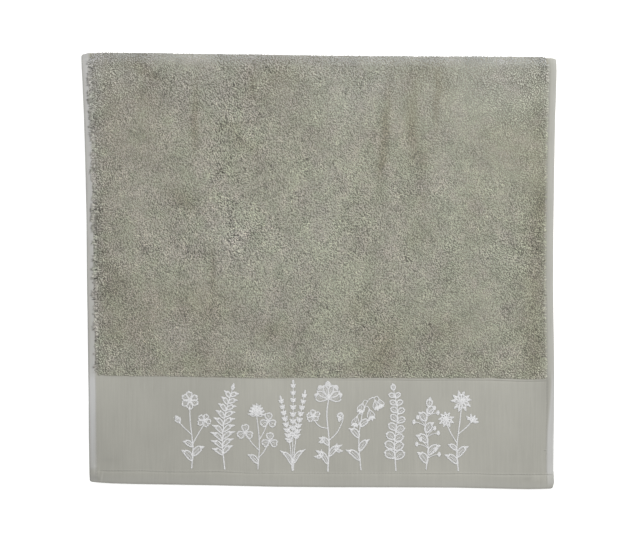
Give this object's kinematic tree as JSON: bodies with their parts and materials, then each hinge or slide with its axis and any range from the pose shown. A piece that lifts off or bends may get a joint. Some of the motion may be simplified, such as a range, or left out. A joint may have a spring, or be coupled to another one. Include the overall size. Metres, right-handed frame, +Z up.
{
  "type": "hand towel, folded in half",
  "caption": "Folded terry hand towel lying flat, looped pile with narrow side hems, a flat woven border embroidered with white flower sprigs and a turned end hem.",
  "frame": {"origin": "centre of the folded towel's bounding box, on the plane of its underside", "axes": "+X across the towel's width, to the picture's right; +Y along the towel, from the hems to the fold; +Z up through the two layers"},
  "size_m": [0.5002, 0.4592, 0.0101],
  "materials": {
    "terry_cotton": "matt looped cotton, grey sage green"
  },
  "bodies": {
    "root": {"towel": "terry_cotton"}
  },
  "joints": []
}
